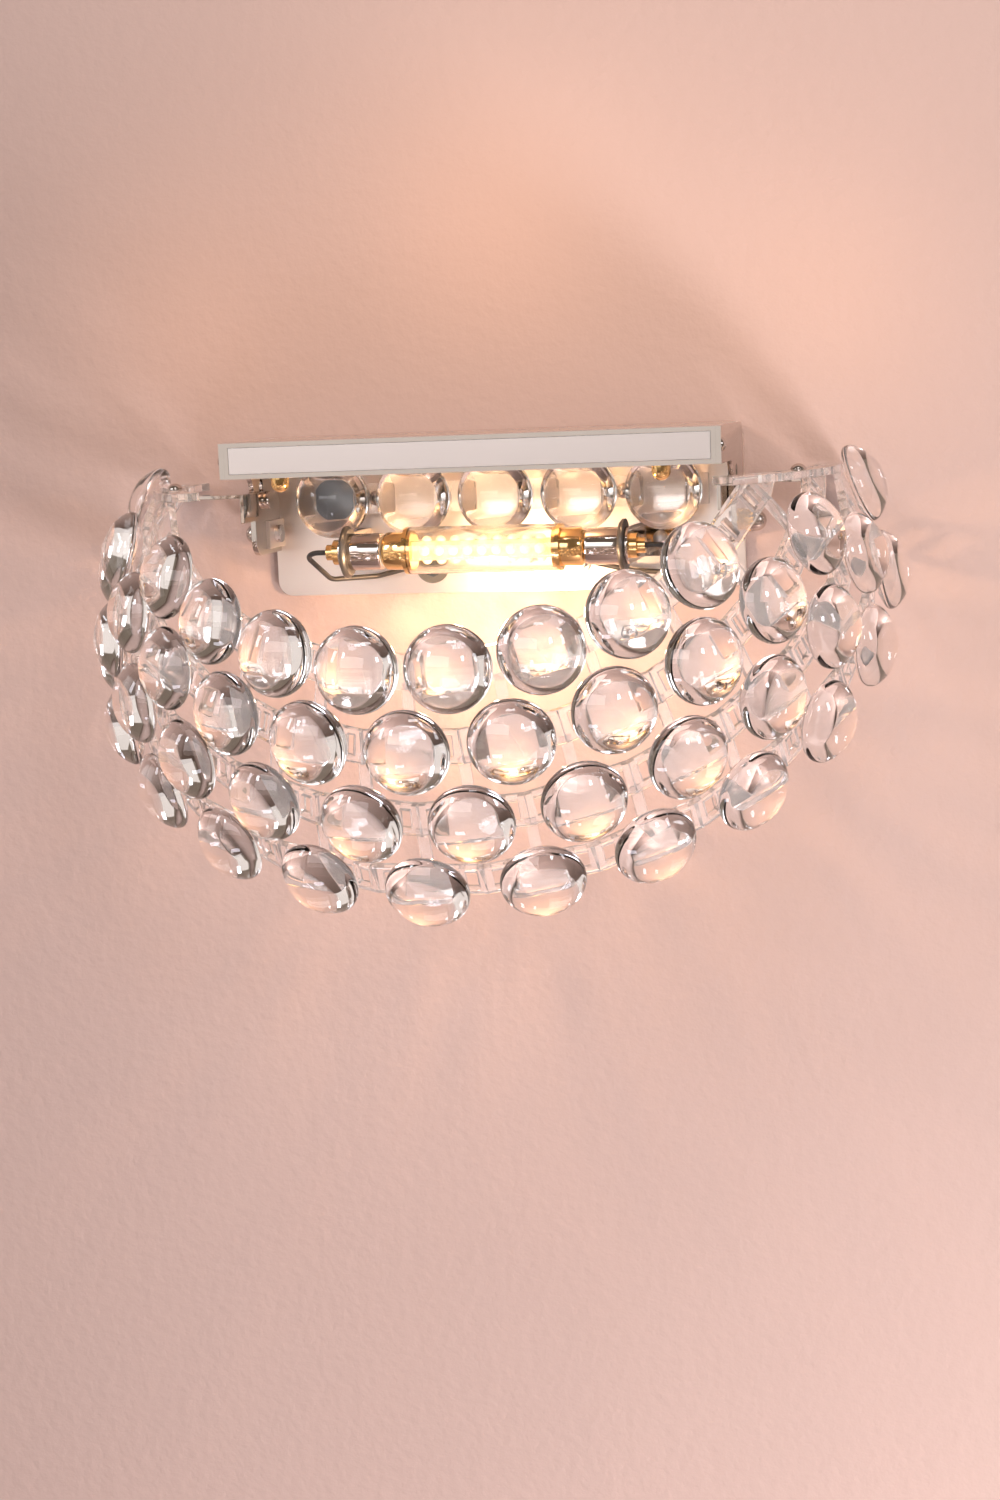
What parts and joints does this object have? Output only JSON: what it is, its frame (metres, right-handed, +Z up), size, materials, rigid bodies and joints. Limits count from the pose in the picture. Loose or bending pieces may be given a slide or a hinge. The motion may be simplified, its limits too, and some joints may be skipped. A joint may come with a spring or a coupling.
{
  "type": "wall sconce",
  "caption": "Wall sconce with a scooped basket of clear crystal discs on ladder links, hung from a nickel bar unit with a double-ended lamp.",
  "frame": {"origin": "middle of the wall plate's rear face, on the wall", "axes": "+X to the right seen from the room, +Y into the wall, +Z up"},
  "size_m": [0.3176, 0.1697, 0.1674],
  "materials": {
    "polished_nickel": "polished nickel plate",
    "satin_nickel": "satin nickel plate",
    "gilt": "bright gilt",
    "steel": "zinc plated",
    "black": "dark",
    "lead_cover": "black sleeve",
    "bush_rubber": "soft",
    "ceramic": "unglazed",
    "terminal_plastic": "moulded",
    "crystal": "polished clear crystal",
    "clear_acrylic": "clear",
    "lamp_glass": "clear",
    "lamp_stick": "white",
    "light_point": "lit"
  },
  "bodies": {
    "wall_unit": {"wall_plate": "polished_nickel", "end_cheek_left": "polished_nickel", "end_cheek_right": "polished_nickel", "front_bar": "polished_nickel", "bar_face": "satin_nickel", "bar_screws": "polished_nickel", "under_nuts": "gilt", "cheek_bolts": "steel", "cheek_spacers": "gilt", "dome_nuts": "polished_nickel", "cable_bush": "bush_rubber", "terminal_block": "terminal_plastic", "terminal_screws": "gilt", "earth_screw": "steel", "lamp_arm_left": "polished_nickel", "lamp_arm_right": "polished_nickel", "arm_screws": "steel", "holder_shell_left": "polished_nickel", "holder_shell_right": "polished_nickel", "holder_core_left": "ceramic", "holder_core_right": "ceramic", "holder_flange_left": "black", "holder_flange_right": "black", "holder_stem_left": "gilt", "holder_stem_right": "gilt", "contact_spring_left": "steel", "contact_spring_right": "steel", "lead_left": "lead_cover", "lead_right": "lead_cover", "back_rail": "clear_acrylic", "back_crystals": "crystal", "back_spacers": "steel", "back_screws": "polished_nickel"},
    "left_contact": {"contact_left": "gilt"},
    "right_contact": {"contact_right": "gilt"},
    "lamp": {"lamp_tube": "lamp_glass", "lamp_core": "lamp_stick", "lamp_leds": "light_point", "lamp_cap_left": "gilt", "lamp_cap_right": "gilt", "lamp_pins": "gilt"},
    "basket": {"hoop_1": "clear_acrylic", "hoop_2": "clear_acrylic", "hoop_3": "clear_acrylic", "hoop_4": "clear_acrylic", "crystals_row_1": "crystal", "crystals_row_2": "crystal", "crystals_row_3": "crystal", "crystals_row_4": "crystal", "frame_struts": "clear_acrylic", "top_rail_left": "clear_acrylic", "top_rail_right": "clear_acrylic", "hanger_left": "polished_nickel", "hanger_right": "polished_nickel", "hanger_screws": "polished_nickel", "rail_screws": "polished_nickel"}
  },
  "joints": [
    {"name": "basket_lift", "type": "slide", "parent": "wall_unit", "child": "basket", "axis": [0, 0, 1], "range_m": [0, 0.006]},
    {"name": "right_contact_slide", "type": "slide", "parent": "wall_unit", "child": "right_contact", "axis": [1, 0, 0], "range_m": [0, 0.0035], "stiffness_N_per_m": 150, "deforming": ["contact_spring_right"]},
    {"name": "left_contact_slide", "type": "slide", "parent": "wall_unit", "child": "left_contact", "axis": [-1, 0, 0], "range_m": [0, 0.0035], "stiffness_N_per_m": 150, "deforming": ["contact_spring_left"]},
    {"name": "lamp_turn", "type": "hinge", "parent": "wall_unit", "child": "lamp", "pos_m": [0, -0.038, -0.012], "axis": [1, 0, 0], "continuous": true}
  ]
}
